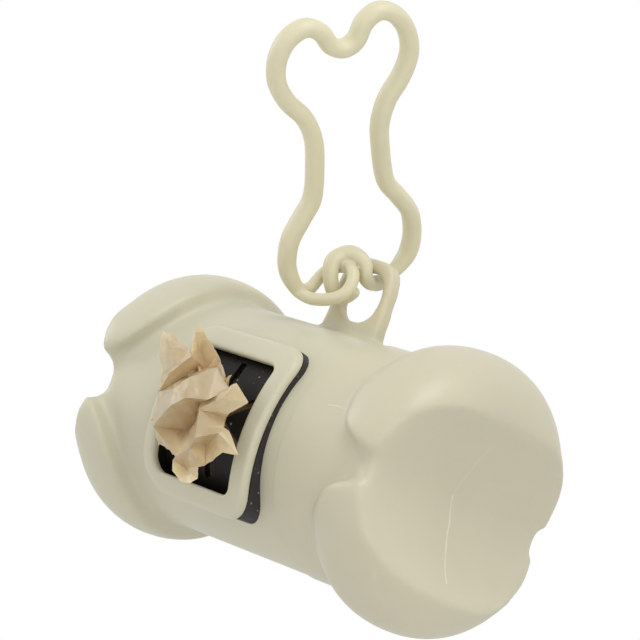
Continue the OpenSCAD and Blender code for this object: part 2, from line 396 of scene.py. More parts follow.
def math_node(tree, operation, a, b=0.5):
    node = tree.nodes.new("ShaderNodeMath")
    node.operation = operation
    feed(tree, node.inputs[0], a)
    feed(tree, node.inputs[1], b)
    return node.outputs[0]


def plus(tree, a, b):
    return math_node(tree, "ADD", a, b)


def minus(tree, a, b):
    return math_node(tree, "SUBTRACT", a, b)


def times(tree, a, b):
    return math_node(tree, "MULTIPLY", a, b)


def at_least(tree, value, low):
    return math_node(tree, "MAXIMUM", value, low)


def at_most(tree, value, high):
    return math_node(tree, "MINIMUM", value, high)


def noise_node(tree, coordinates, scale, detail=3.0, roughness=0.5):
    node = tree.nodes.new("ShaderNodeTexNoise")
    tree.links.new(coordinates, node.inputs["Vector"])
    node.inputs["Scale"].default_value = scale
    node.inputs["Detail"].default_value = detail
    node.inputs["Roughness"].default_value = roughness
    return node.outputs[0]


def coordinates_of(tree, where):
    """The three coordinates of a place, as separate outputs."""
    split = tree.nodes.new("ShaderNodeSeparateXYZ")
    tree.links.new(where, split.inputs[0])
    return split.outputs


def colour_mix(tree, factor, low, high):
    mix = tree.nodes.new("ShaderNodeMix")
    mix.data_type = "RGBA"
    tree.links.new(factor, mix.inputs[0])
    feed(tree, mix.inputs[6], low)
    feed(tree, mix.inputs[7], high)
    return mix.outputs[2]


def bumped(tree, shader, height, strength, distance):
    """Lets a height roughen the surface; the distance is in metres."""
    bump = tree.nodes.new("ShaderNodeBump")
    bump.inputs["Strength"].default_value = strength
    bump.inputs["Distance"].default_value = distance
    tree.links.new(height, bump.inputs["Height"])
    tree.links.new(bump.outputs[0], shader.inputs["Normal"])


def glowing_inside(shader, weight, radius):
    """Light that enters the material and comes out beside; the radius is in metres."""
    shader.inputs["Subsurface Weight"].default_value = weight
    shader.inputs["Subsurface Radius"].default_value = radius
    shader.inputs["Subsurface Scale"].default_value = 1.0


def moulded_group():
    """Satin moulded plastic: faint mottling, fine grain, a few scuffs and handled patches."""

    def build(tree, given, wanted):
        broad = noise_node(tree, given["Vector"], 38.0, 2.0)
        fine = noise_node(tree, given["Vector"], 900.0, 3.0)
        cloudy = noise_node(tree, given["Vector"], 140.0, 4.0)
        stretch = tree.nodes.new("ShaderNodeMapping")
        tree.links.new(given["Vector"], stretch.inputs["Vector"])
        stretch.inputs["Scale"].default_value = (700, 60, 240)
        stretch.inputs["Rotation"].default_value = (0.5, 0.9, 0.4)
        lines = noise_node(tree, stretch.outputs[0], 1.0, 5.0)
        scuff = times(tree, at_least(tree, minus(tree, lines, 0.66), 0.0), 6.0)
        scuff = times(tree, scuff, given["Scuffs"])
        mottle = plus(tree, times(tree, broad, 0.55), times(tree, cloudy, 0.45))
        rough = plus(tree, given["Roughness"], times(tree, minus(tree, cloudy, 0.5), 0.14))
        rough = plus(tree, rough, times(tree, scuff, 0.25))
        height = plus(tree, times(tree, fine, given["Grain"]), times(tree, scuff, -0.5))
        height = plus(tree, height, times(tree, broad, 0.8))
        for label, value in (("Mottle", mottle), ("Scuff", scuff), ("Roughness", rough), ("Height", height)):
            tree.links.new(value, wanted[label])

    return node_group(
        "moulded plastic",
        [("Vector", "NodeSocketVector", (0, 0, 0)), ("Roughness", "NodeSocketFloat", 0.4),
         ("Grain", "NodeSocketFloat", 0.3), ("Scuffs", "NodeSocketFloat", 0.5)],
        [("Mottle", "NodeSocketFloat"), ("Scuff", "NodeSocketFloat"),
         ("Roughness", "NodeSocketFloat"), ("Height", "NodeSocketFloat")],
        build,
    )


def hairline_group():
    """Thin line between two points, seen along one axis: 1 on the line, 0 beside it."""

    def build(tree, given, wanted):
        def vector(operation, a, b):
            node = tree.nodes.new("ShaderNodeVectorMath")
            node.operation = operation
            for socket, value in zip(node.inputs, (a, b)):
                tree.links.new(value, socket)
            return node

        flat, start, end = (
            vector("MULTIPLY", given[label], given["Flatten"]).outputs[0]
            for label in ("Vector", "From", "To"))
        along = vector("SUBTRACT", end, start).outputs[0]
        away = vector("SUBTRACT", flat, start).outputs[0]
        reach = vector("DOT_PRODUCT", away, along).outputs["Value"]
        whole = vector("DOT_PRODUCT", along, along).outputs["Value"]
        part = at_least(tree, at_most(tree, math_node(tree, "DIVIDE", reach, whole), 1.0), 0.0)
        scaled = tree.nodes.new("ShaderNodeVectorMath")
        scaled.operation = "SCALE"
        tree.links.new(along, scaled.inputs[0])
        tree.links.new(part, scaled.inputs["Scale"])
        gap = vector("DISTANCE", away, scaled.outputs[0]).outputs["Value"]
        mask = minus(tree, 1.0, math_node(tree, "DIVIDE", gap, given["Width"]))
        tree.links.new(at_least(tree, mask, 0.0), wanted["Line"])

    return node_group(
        "hairline",
        [("Vector", "NodeSocketVector", (0, 0, 0)), ("Flatten", "NodeSocketVector", (0, 1, 1)),
         ("From", "NodeSocketVector", (0, 0, 0)), ("To", "NodeSocketVector", (0, 0, 0)),
         ("Width", "NodeSocketFloat", 0.0002)],
        [("Line", "NodeSocketFloat")],
        build,
    )


def blank_material(name):
    """New material, its nodes, its shader and the place on the object; only the material if it exists."""
    material = bpy.data.materials.get(name)
    if material:
        return material, None, None, None
    material = bpy.data.materials.new(name)
    material.use_nodes = True
    tree = material.node_tree
    place_node = tree.nodes.new("ShaderNodeTexCoord")
    return material, tree, tree.nodes["Principled BSDF"], place_node.outputs["Object"]


def shade(colour, factor, warm=0.0):
    """A lighter or darker tone of a colour, a little warmer or cooler."""
    red, green, blue = (min(1, part * factor * (1 + tint)) for part, tint in zip(colour, (warm, 0, -warm)))
    return (red, green, blue, 1.0)


# the painted warm light on the lug starts at this height
LUG_FOOT_Z = -0.0385  # the lug begins here, in the frame of the model


def satin_plastic(name, colour, roughness=0.36, scuffs=0.35, painted_warm_light_on_lug=False):
    """Moulded plastic; if asked, the lug gets painted warm light: it is painted a little lighter and warmer
    than the tube.
    """
    material, tree, shader, where = blank_material(name)
    if tree is None:
        return material
    group = tree.nodes.new("ShaderNodeGroup")
    group.node_tree = moulded_group()
    tree.links.new(where, group.inputs["Vector"])
    for label, value in (("Roughness", roughness), ("Grain", 0.25), ("Scuffs", scuffs)):
        group.inputs[label].default_value = value
    body = colour_mix(
        tree, group.outputs["Mottle"], shade(colour, 0.955, -0.012), shade(colour, 1.045, 0.012))
    # painted warm light: from the lug's foot upwards the colour turns a little lighter and warmer
    if painted_warm_light_on_lug:
        lug_light_mask = times(tree, minus(tree, coordinates_of(tree, where)[2], LUG_FOOT_Z), 400.0)
        lug_light_mask = at_most(tree, at_least(tree, lug_light_mask, 0.0), 1.0)
        body = colour_mix(tree, lug_light_mask, body, shade(colour, 1.05, 0.05))
    worn = colour_mix(tree, group.outputs["Scuff"], body, shade(colour, 1.12, -0.02))
    tree.links.new(worn, shader.inputs["Base Color"])
    tree.links.new(group.outputs["Roughness"], shader.inputs["Roughness"])
    bumped(tree, shader, group.outputs["Height"], 0.12, 0.0004)
    shader.inputs["IOR"].default_value = 1.46
    glowing_inside(shader, 0.12, (0.0016, 0.0013, 0.0008))
    return material


# marks on the cap, in the frame of the model: seen along, from, to, half width, strength
CAP_MARKS = [
    ((0, 1, 1), (0.03177, 0.02727, -0.05961), (0.03187, 0.02865, -0.0633), 0.00022, 0.8),
    ((0, 1, 1), (0.03187, 0.02865, -0.0633), (0.03553, 0.02908, -0.07268), 0.00026, 0.9),
    ((0, 1, 1), (0.0349, 0.02829, -0.05013), (0.03177, 0.02727, -0.05961), 0.00013, 0.3),
    ((1, 0, 1), (0.01644, 0.00928, -0.05352), (0.01821, 0.00938, -0.05322), 0.00018, 0.5),
    ((1, 0, 1), (0.01821, 0.00938, -0.05322), (0.02016, 0.00931, -0.05343), 0.00018, 0.5)]


def marked_plastic(name, colour, marks):
    """Satin plastic with a weld line and a few hair scratches."""
    fresh = bpy.data.materials.get(name) is None
    material = satin_plastic(name, colour)
    if not fresh:
        return material
    tree = material.node_tree
    shader = tree.nodes["Principled BSDF"]
    where = tree.nodes["Texture Coordinate"].outputs["Object"]
    tone = shader.inputs["Base Color"].links[0].from_socket
    broken = at_most(tree, times(tree, noise_node(tree, where, 500.0, 2.0), 1.7), 1.0)
    for flatten, start, end, width, strength in marks:
        line = tree.nodes.new("ShaderNodeGroup")
        line.node_tree = hairline_group()
        tree.links.new(where, line.inputs["Vector"])
        for key, value in (("Flatten", flatten), ("From", start), ("To", end), ("Width", width)):
            line.inputs[key].default_value = value
        mask = times(tree, times(tree, line.outputs["Line"], strength), broken)
        tone = colour_mix(tree, mask, tone, shade(colour, 1.4, -0.04))
    tree.links.new(tone, shader.inputs["Base Color"])
    return material


RIM_START_X = 0.0052  # the insert's rim shows beyond this place, in the frame of the model
RIM_COLOUR = (0.034, 0.029, 0.031, 1.0)
DUST_COLOUR = (0.34, 0.33, 0.31, 1.0)


def rubber_material():
    """Black rubber with pale dust; the rim beside the frame is greyer than the slit sheet."""
    material, tree, shader, where = blank_material("insert rubber")
    if tree is None:
        return material
    dots = tree.nodes.new("ShaderNodeTexVoronoi")
    tree.links.new(where, dots.inputs["Vector"])
    dots.inputs["Scale"].default_value = 900.0
    near = at_least(tree, minus(tree, 0.20, dots.outputs["Distance"]), 0.0)
    some = at_least(tree, minus(tree, noise_node(tree, where, 300.0, 2.0), 0.50), 0.0)
    specks = at_most(tree, times(tree, times(tree, near, some), 90.0), 0.8)
    rim = math_node(tree, "GREATER_THAN", coordinates_of(tree, where)[0], RIM_START_X)
    ground = colour_mix(tree, rim, tuple(look().insert) + (1.0,), RIM_COLOUR)
    tree.links.new(colour_mix(tree, specks, ground, DUST_COLOUR), shader.inputs["Base Color"])
    shader.inputs["Specular IOR Level"].default_value = 0.22
    dust = noise_node(tree, where, 420.0, 6.0, 0.65)
    tree.links.new(plus(tree, 0.36, times(tree, dust, 0.3)), shader.inputs["Roughness"])
    bumped(tree, shader, noise_node(tree, where, 2200.0, 2.0), 0.2, 0.0002)
    return material


def film_material():
    """Thin matt film that lets some light through."""
    colour = tuple(look().film)
    material, tree, shader, where = blank_material("bag film")
    if tree is None:
        return material
    broad = noise_node(tree, where, 160.0, 3.0)
    wrinkle = noise_node(tree, where, 700.0, 5.0, 0.6)
    tone = colour_mix(tree, broad, shade(colour, 0.94, 0.01), shade(colour, 1.08, -0.01))
    tree.links.new(tone, shader.inputs["Base Color"])
    tree.links.new(plus(tree, 0.21, times(tree, wrinkle, 0.2)), shader.inputs["Roughness"])
    bumped(tree, shader, plus(tree, broad, wrinkle), 0.10, 0.0004)
    shader.inputs["IOR"].default_value = 1.5
    shader.inputs["Specular IOR Level"].default_value = 0.5
    glowing_inside(shader, 0.45, (0.003, 0.002, 0.001))
    return material


def wound_material():
    """The wound film of the roll, with fine rings of layers on its ends."""
    colour = tuple(look().film)
    material, tree, shader, where = blank_material("wound film")
    if tree is None:
        return material
    centre = tree.nodes.new("ShaderNodeMapping")
    centre.inputs["Location"].default_value = (0, -0.02856, 0.06038)
    tree.links.new(where, centre.inputs["Vector"])
    split = coordinates_of(tree, centre.outputs[0])
    square = plus(
        tree, math_node(tree, "POWER", split[1], 2.0), math_node(tree, "POWER", split[2], 2.0))
    across = math_node(tree, "SQRT", square)
    rings = math_node(tree, "SINE", times(tree, across, 14000.0))
    folds = noise_node(tree, where, 260.0, 5.0, 0.6)
    tone = colour_mix(tree, folds, shade(colour, 0.80), shade(colour, 1.15))
    tone = colour_mix(tree, times(tree, plus(tree, rings, 1.0), 0.16), tone, shade(colour, 0.5))
    tree.links.new(tone, shader.inputs["Base Color"])
    tree.links.new(plus(tree, 0.32, times(tree, folds, 0.25)), shader.inputs["Roughness"])
    bumped(tree, shader, plus(tree, rings, times(tree, folds, 2.0)), 0.3, 0.0003)
    return material


def board_material():
    """Brown paper board with a fibrous surface."""
    colour = tuple(look().board)
    material, tree, shader, where = blank_material("core board")
    if tree is None:
        return material
    fibres = noise_node(tree, where, 900.0, 6.0, 0.7)
    tone = colour_mix(tree, fibres, shade(colour, 0.75), shade(colour, 1.3))
    tree.links.new(tone, shader.inputs["Base Color"])
    tree.links.new(plus(tree, 0.75, times(tree, fibres, 0.2)), shader.inputs["Roughness"])
    bumped(tree, shader, fibres, 0.4, 0.0002)
    return material


# ---------------------------------------------------------------- the moulded case

# the two ends from the side, as x and height over the middle of the notch: the end of the core
# between the lobes, and the foot of a lobe on the tube
CAP_VALLEY = [
    (33.5, 0), (33.6, 2.0), (34.0, 4.0), (34.5, 5.5), (35.0, 7.0), (35.75, 9.1), (36.85, 11.1),
    (37.85, 12.4)]
CAP_FOOT = [
    (23.4, 23.0), (23.2, 20.6), (22.8, 18.0), (22.1, 15.2), (21.8, 12.4), (22.4, 9.6), (23.6, 7.0),
    (25.6, 4.9), (28.6, 3.4), (31.6, 2.5)]
SHELL_VALLEY = [
    (32.4, 0), (32.4, 2.8), (32.8, 4.0), (33.7, 5.4), (34.6, 6.9), (35.6, 8.9), (36.85, 11.1),
    (37.85, 12.4)]
SHELL_FOOT = [
    (24.6, 23.0), (24.3, 19.4), (24.6, 16.2), (25.2, 13.8), (26.1, 11.2), (27.4, 8.4), (28.8, 6.3),
    (30.6, 4.6)]
# the end face of a lobe beyond the valley; the round of the knuckle cuts it to shape
LOBE_FACE = [
    (38.75, 13.4), (39.45, 14.0), (40.3, 14.8), (41.2, 16.6), (41.6, 22.0), (40.0, 29.0), (30.0, 30.0),
    (24.6, 28.0)]
# x and radius of the shoulder from the tube up to the crown
SHOULDER = [(20.5, 0), (20.5, 18.5), (21.4, 20.0), (22.4, 21.3), (23.6, 22.2), (25.2, 23.0), (27.2, 23.5)]
CROWN_X = 29.5  # here the knuckle is widest
CROWN_ROUND = 10.4  # from here its round runs this far in and on
# the core grows a little towards its end, and then stays inside the round of the lobes:
# x, share of its flare and largest radius
CORE_STATIONS = [
    (28.5, 0.15, 30), (31.0, 0.6, 30), (33.5, 1.0, 30), (34.5, 1.0, 22.0), (35.5, 1.0, 21.3),
    (36.5, 1.0, 20.5), (37.5, 1.0, 19.4), (38.5, 1.0, 17.9), (39.5, 1.0, 15.4)]
BEYOND = 30  # outlines and cutters reach this far, past everything


def knuckle_end(name, tube_r, start, valley, foot, flare, full, shift):
    """One end of the bone on the +X side: its tube from start, its core and its two lobes.

    The core grows by flare towards its end. The round over the lobes is plain where full is 1
    and fuller where it is less. The lobes and the core's end are moved along X by shift.
    """
    drop = sizes().middle_drop
    crown_r = sizes().crown_r
    profile = SHOULDER + [(CROWN_X, crown_r)]
    for step in range(1, 19):
        angle = math.radians(90 - 5 * step)
        profile.append((CROWN_X + CROWN_ROUND * math.cos(angle) ** full,
                        crown_r - CROWN_ROUND + CROWN_ROUND * math.sin(angle) ** full))
    profile.append((CROWN_X + CROWN_ROUND, 0))
    ring = turned(name + " lobes", [(x + shift, r) for x, r in profile])
    lobe = [(valley[1][0] + 0.1, valley[1][1] + 0.4)] + valley[2:] + LOBE_FACE + foot
    upper, lower = (
        prism(name + part, [(x + shift, side * z - drop) for x, z in smooth_loop(lobe, 4)], -BEYOND, BEYOND)
        for part, side in ((" upper", 1), (" lower", -1)))
    combine(ring, combine(upper, lower, "UNION"), "INTERSECT")
    edge = [(x + shift, z) for x, z in smooth_line(valley, 4)]
    step_x, step_z = edge[-1][0] - 6, edge[-1][1]
    half = [(start, BEYOND), (step_x, BEYOND), (step_x, step_z)] + edge[::-1]
    flank = half + [(x, -z) for x, z in half[-2::-1]]
    core_end = prism(name + " end", [(x, z - drop) for x, z in flank], -BEYOND, BEYOND)
    side = [(start + 0.5, 0), (start + 0.5, tube_r), (26.0, tube_r)]
    for x, share, limit in CORE_STATIONS:
        side.append((x + shift, min(limit, tube_r + share * flare)))
    core = turned(name + " core", side + [(40.2 + shift, 9.0), (40.2 + shift, 0)])
    combine(core, core_end, "INTERSECT")
    return combine(core, ring, "UNION")


def mirrored(piece):
    """Turns a piece of the +X end into one of the -X end."""
    only(piece)
    piece.scale = (-1, 1, 1)
    bpy.ops.object.transform_apply(location=False, rotation=False, scale=True)
    return outward(piece)


# x and height of the lug's outline, from foot to foot
LUG_OUTLINE = [
    (-6.3, 17.0), (-6.35, 24.0), (-6.3, 30.2), (-4.2, 33.2), (-1.8, 33.7),
    (1.2, 33.7), (3.6, 33.1), (5.3, 30.4), (6.0, 24.0), (6.2, 17.0)]
LUG_HOLE = (-4.4, 3.8, 22.4, 31.5)
LUG_HOLE_CORNERS = (3.6, 3.2, 3.2, 3.6)


def lug_blank():
    """Hanging lug with its hole; its two foot corners stay sharp, as they sink into the tube."""
    half = sizes().lug_t / 2
    round_part = [tuple(p) for p in smooth_line(LUG_OUTLINE[1:-1], 5)]
    plate = prism("lug", LUG_OUTLINE[:1] + round_part + LUG_OUTLINE[-1:], -half, half)
    hole = prism("lug hole", rounded_outline(*LUG_HOLE, LUG_HOLE_CORNERS), -6, 6)
    return combine(plate, hole, "DIFFERENCE")


def near_notch(co, low, high):
    """1 near the middle of the notches, 0 beyond them, by height."""
    return 1 - ramp(abs(co.z + NOTCH_DROP), low, high)


def tip_weight(co):
    """Picks the tips of the lobes beside the notches, which are rounder than the rest."""
    return ramp(abs(co.x), 28.5, 31.0) * ramp(abs(co.y), 12.5, 16.0) * near_notch(co, 8.0, 11.0)


def crease_weight(co):
    """How strongly the knuckles are softened: fully beyond their necks, a little elsewhere."""
    lug_foot = ramp(co.z, 21.0, 23.0) * (1 - ramp(abs(co.x), 8, 12))
    return 0.07 + 0.93 * ramp(abs(co.x), 19.5, 23.0) + 0.2 * lug_foot


def cap_crease_weight(co):
    """The cap's knuckle keeps fuller tips beside the notch at the back."""
    return crease_weight(co) * (1 - 0.35 * ramp(co.y, 8.0, 14.0) * near_notch(co, 11.0, 15.0))


def cap_tip_weight(co):
    return tip_weight(co) * (1 - 0.6 * ramp(co.y, 0.0, 6.0))


def cap_swell(co):
    """The two lobes of the cap stand proud beside the notch at the back."""
    near = 1 - ramp(abs(co.z + 0.6), 7.0, 15.0)
    return ramp(co.y, 4.0, 16.0) * ramp(co.x, 26.0, 34.0) * near


def shell_swell(co):
    """The tips of the shell's lobes are full as well as round, on the window's side."""
    beside = ramp(abs(co.z + NOTCH_DROP), 1.0, 5.0)
    return ramp(-co.y, 4.0, 16.0) * ramp(-co.x, 26.0, 34.0) * near_notch(co, 7.0, 15.0) * beside


def sharp_edges(piece, angle, where):
    """Selects, in edit mode, the edges sharper than angle whose ends lie where asked."""
    only(piece)
    bpy.ops.object.mode_set(mode="EDIT")
    bpy.ops.mesh.select_mode(type="EDGE")
    bpy.ops.mesh.select_all(action="DESELECT")
    mesh = bmesh.from_edit_mesh(piece.data)
    for edge in mesh.edges:
        if edge.calc_face_angle(0) > angle and all(where(v.co) for v in edge.verts):
            edge.select_set(True)
    bmesh.update_edit_mesh(piece.data)


def ease_seam(piece, x, radius):
    """A small break on the outer edge of the seam."""
    sharp_edges(piece, 0.9, lambda co: abs(co.x - x) < 1e-4 and math.hypot(co.y, co.z) > radius - 0.8)
    bpy.ops.mesh.bevel(offset=0.12, segments=2, clamp_overlap=True)
    close_mesh()


TUBE_OVERLAP = 3.0  # both ends of the bone begin this far past the seam and are cut there
SEAM_GAP = 0.05
SPIGOT_LENGTH = 4.2
SPIGOT_GAP = 0.08
SPIGOT_INSIDE = 1.2  # the spigot is open inside this far from the bore
WINDOW_HOLE = (-15.8, 7.6, -14.0, 11.0)


def build_shell():
    s, l = sizes(), look()
    tube = mirrored(knuckle_end(
        "body_shell_skin", s.tube_r, -s.seam_x - TUBE_OVERLAP, SHELL_VALLEY, SHELL_FOOT,
        flare=0.0, full=0.97, shift=-0.9))
    combine(tube, lug_blank(), "UNION")
    apply_modifier(tube, "REMESH", mode="VOXEL", voxel_size=l.voxel)
    soften(tube, l.soften, crease_weight)
    soften(tube, 2 * l.soften, tip_weight)
    swell(tube, -1.1, shell_swell)
    cut_plane(tube, s.seam_x, keep_high=False)
    bore = rod("bore", s.bore_r, -s.chamber_x, s.seam_x + 2)
    window = prism("window hole", rounded_outline(*WINDOW_HOLE, 1.6), -24, -14)
    combine(tube, combine(bore, window, "UNION"), "DIFFERENCE")
    ease_seam(tube, s.seam_x, s.tube_r)
    # the lug gets painted warm light
    plastic = satin_plastic("shell plastic", tuple(l.shell), painted_warm_light_on_lug=True)
    place(tube, "shell", "body_shell", "case", plastic)


def build_cap():
    s, l = sizes(), look()
    cap = knuckle_end(
        "end_cap_skin", s.cap_r, s.seam_x - TUBE_OVERLAP, CAP_VALLEY, CAP_FOOT,
        flare=1.5, full=0.8, shift=0.35)
    apply_modifier(cap, "REMESH", mode="VOXEL", voxel_size=l.voxel)
    soften(cap, l.soften, cap_crease_weight)
    soften(cap, l.soften, cap_tip_weight)
    swell(cap, 2.0, cap_swell)
    seam = s.seam_x + SEAM_GAP
    cut_plane(cap, seam, keep_high=True)
    spigot = rod("spigot", s.bore_r - SPIGOT_GAP, s.seam_x - SPIGOT_LENGTH, s.seam_x + 1)
    combine(cap, spigot, "UNION")
    hollow = rod("hollow", s.bore_r - SPIGOT_INSIDE, s.seam_x - 6, s.chamber_x)
    combine(cap, hollow, "DIFFERENCE")
    ease_seam(cap, seam, s.cap_r)
    plastic = marked_plastic("cap plastic", tuple(l.cap), CAP_MARKS)
    place(cap, "cap", "end_cap", "cap", plastic)


class DISPENSER_OT_shell(bpy.types.Operator):
    """Tube with the closed knuckle, the chamber, the window hole and the hanging lug"""

    bl_idname = "dispenser.shell"
    bl_label = "Shell"

    def execute(self, context):
        build_shell()
        return {"FINISHED"}


class DISPENSER_OT_cap(bpy.types.Operator):
    """Capped knuckle with its spigot"""

    bl_idname = "dispenser.cap"
    bl_label = "End cap"

    def execute(self, context):
        build_cap()
        return {"FINISHED"}


# ---------------------------------------------------------------- the window

WINDOW_X = -3.1
FRAME_AXIS_Y = 6.0  # the frame is bent about an axis this far behind the tube's
FRAME_LIFT = 1.0  # the frame's back stands this far off the tube
FRAME_DEPTH = 1.5
FRAME_CORNERS = (4.4, 4.4, 6.6, 4.4)
OPENING_CORNERS = (1.3, 2.4, 3.0, 1.3)
# the bars towards the closed end, below and above are narrower than the one towards the cap
OPENING_EXTRA = (1.1, 0.6, 0.25)


def window_span():
    s = sizes()
    middle = -s.middle_drop - 0.1
    return (WINDOW_X - s.frame_w / 2, WINDOW_X + s.frame_w / 2,
            middle - s.frame_h / 2, middle + s.frame_h / 2)


def bend_over_tube(piece, base_r):
    """Lays a flat piece, whose depth is along Y, on a round of the given radius."""
    middle = -sizes().middle_drop - 0.1
    for vertex in piece.data.vertices:
        r = base_r - vertex.co.y
        vertex.co.y = FRAME_AXIS_Y - math.sqrt(max(0.0, r * r - (vertex.co.z - middle) ** 2))


def cross_cuts(piece, z0, z1, step):
    """Cuts the piece square to Z at even steps, so that it can be bent."""
    open_mesh(piece)
    count = int((z1 - z0) / step)
    for i in range(1, count):
        bpy.ops.mesh.select_all(action="SELECT")
        height = z0 + (z1 - z0) * i / count
        bpy.ops.mesh.bisect(plane_co=(0, 0, height), plane_no=(0, 0, 1))
    close_mesh()


def build_window_frame():
    s = sizes()
    x0, x1, z0, z1 = window_span()
    bar = s.frame_bar
    back, below, above = OPENING_EXTRA
    opening = (x0 + bar - back, x1 - bar, z0 + bar - below, z1 - bar - above)
    ring = prism("frame", rounded_outline(x0, x1, z0, z1, FRAME_CORNERS, 10), -FRAME_DEPTH, 0)
    hole = prism("frame hole", rounded_outline(*opening, OPENING_CORNERS, 10), -6, 6)
    combine(ring, hole, "DIFFERENCE")
    sharp_edges(ring, 0.9, lambda co: co.y < -FRAME_DEPTH + 0.01)
    bpy.ops.mesh.bevel(offset=1.0, segments=5, profile=0.55, clamp_overlap=True)
    close_mesh()
    sharp_edges(ring, 0.9, lambda co: co.y > -0.01)
    bpy.ops.mesh.bevel(offset=0.25, segments=2, clamp_overlap=True)
    close_mesh()
    cross_cuts(ring, z0, z1, 0.8)
    bend_over_tube(ring, s.tube_r + FRAME_LIFT + FRAME_AXIS_Y)
    plastic = satin_plastic("frame plastic", tuple(look().shell), 0.38)
    place(ring, "frame_bars", "window_frame", "case", plastic)


STAR_X = -2.5
SLIT_REACH = 9.8
SLIT_HALF = 0.68
STAR_HUB = 2.6


def star_outline():
    """Outline of a star of six blunt-ended slits, about its own middle."""
    # how far along the slit, in mm, and how far to its side, in half widths of the slit
    corners = [
        (STAR_HUB, -1.6), (SLIT_REACH * 0.6, -1), (SLIT_REACH - SLIT_HALF * 0.4, -1), (SLIT_REACH, -0.6),
        (SLIT_REACH, 0.6), (SLIT_REACH - SLIT_HALF * 0.4, 1), (SLIT_REACH * 0.6, 1), (STAR_HUB, 1.6)]
    out = []
    for arm in range(6):
        turn = math.radians(30 + 60 * arm)
        along, side = Vector((math.cos(turn), math.sin(turn))), Vector((-math.sin(turn), math.cos(turn)))
        out += [along * reach + side * SLIT_HALF * share for reach, share in corners]
    return out


SHEET_THICKNESS = 0.9
PUSHED_OUT = 1.1  # the bag pushes the middle of the slit sheet out this far
PUSHED_REACH = 8.5


def build_rim():
    """Thick rim of the insert: from the round of the tube up to the round of the frame."""
    s = sizes()
    x0, x1, z0, z1 = window_span()
    middle = (z0 + z1) / 2
    base = s.tube_r + FRAME_LIFT + FRAME_AXIS_Y
    rim = prism("rim", rounded_outline(x0 + 0.4, x1 + 0.15, z0 + 0.4, z1 - 0.1, 4.4, 8), -26, -9)
    combine(rim, rod("ground", s.tube_r - 0.02, x0 - 4, x1 + 4), "DIFFERENCE")
    over = rod("over", base - 0.02, x0 - 4, x1 + 4, 200)
    over.data.transform(Matrix.Translation((0, FRAME_AXIS_Y, middle)))
    combine(rim, over, "INTERSECT")
    for vertex in rim.data.vertices:
        # the rim leans in towards the tube at its top and bottom
        y, z = vertex.co.y, vertex.co.z
        gap = math.hypot(y - FRAME_AXIS_Y, z - middle) - base
        vertex.co.z = middle + (z - middle) * (1 + max(-0.2, gap) * 0.045)
    room = prism("room", rounded_outline(x0 + 2.6, x1 - 2.6, z0 + 2.6, z1 - 2.6, 1.6), -30, 0)
    return combine(rim, room, "DIFFERENCE")


def build_slit_sheet():
    """Thin sheet with the star of slits, pushed out a little by the bag."""
    x0, x1, z0, z1 = window_span()
    middle = (z0 + z1) / 2
    deselect()
    bpy.ops.mesh.primitive_grid_add(
        x_subdivisions=72, y_subdivisions=72, size=1, rotation=(math.pi / 2, 0, 0))
    sheet = added("slit sheet")
    sheet.data.transform(Matrix.Diagonal((x1 - x0 - 5.0, 1, z1 - z0 - 5.0, 1)))
    sheet.data.transform(Matrix.Translation(((x0 + x1) / 2, 0, middle)))
    apply_modifier(sheet, "SOLIDIFY", thickness=SHEET_THICKNESS, offset=0.0)
    outward(sheet)
    star = prism("star", [(STAR_X + p[0], middle + p[1]) for p in star_outline()], -5, 5)
    combine(sheet, star, "DIFFERENCE")
    pushed = Vector((-3.0, middle))
    r = sizes().tube_r + 0.1
    for vertex in sheet.data.vertices:
        away = (Vector((vertex.co.x, vertex.co.z)) - pushed).length
        vertex.co.y -= PUSHED_OUT * max(0.0, 1 - away / PUSHED_REACH) ** 2
        vertex.co.y += -math.sqrt(r * r - vertex.co.z ** 2)
    return sheet


def build_insert():
    insert = joined(build_rim(), build_slit_sheet())
    place(insert, "slit_sheet", "slit_insert", "case", rubber_material(), 25)


class DISPENSER_OT_window(bpy.types.Operator):
    """Rounded window frame, and the black insert with its star of slits"""

    bl_idname = "dispenser.window"
    bl_label = "Window"

    def execute(self, context):
        build_window_frame()
        build_insert()
        return {"FINISHED"}


# ---------------------------------------------------------------- the clip

# the clip's outline: across, up, and depth towards the viewer, from its eyelet to its hook
CLIP = [
    (-9.6, -23.6, 1.2), (-11.1, -21.4, 0.4), (-11.8, -18.0, 0), (-11.0, -13.6, 0), (-8.8, -10.0, 0),
    (-6.6, -6.4, 0), (-5.9, 0, 0), (-6.0, 4.4, 0), (-7.4, 8.4, 0), (-10.2, 12.0, 0), (-11.8, 16.0, 0),
    (-11.4, 20.0, 0), (-9.4, 23.0, 0), (-6.4, 24.2, 0), (-3.8, 22.8, 0), (-2.2, 20.2, 0), (0, 19.2, 0),
    (2.2, 20.2, 0), (3.8, 23.0, 0), (6.4, 24.4, 0), (9.2, 23.2, 0), (11.2, 20.0, 0), (11.6, 16.0, 0),
    (10.0, 12.0, 0), (7.4, 8.4, 0), (6.0, 4.4, 0), (5.9, 0, 0), (6.6, -6.4, 0), (8.8, -10.0, 0),
    (10.9, -13.6, 0), (11.3, -17.8, 0), (10.4, -21.2, 0.2), (8.3, -23.3, 0.7), (5.8, -24.3, 1.5),
    (3.8, -24.8, 2.0), (2.2, -24.0, 2.6), (1.2, -22.8, 3.5), (0.6, -21.2, 4.0), (0.9, -19.5, 3.2),
    (0.1, -18.4, 1.7), (-1.6, -18.4, 0.6), (-3.8, -19.1, 0.8), (-4.7, -20.8, 1.7), (-4.9, -22.7, 2.4),
    (-4.8, -24.1, 3.0), (-4.1, -24.6, 3.9), (-3.1, -24.2, 4.8), (-2.2, -23.3, 5.3)]
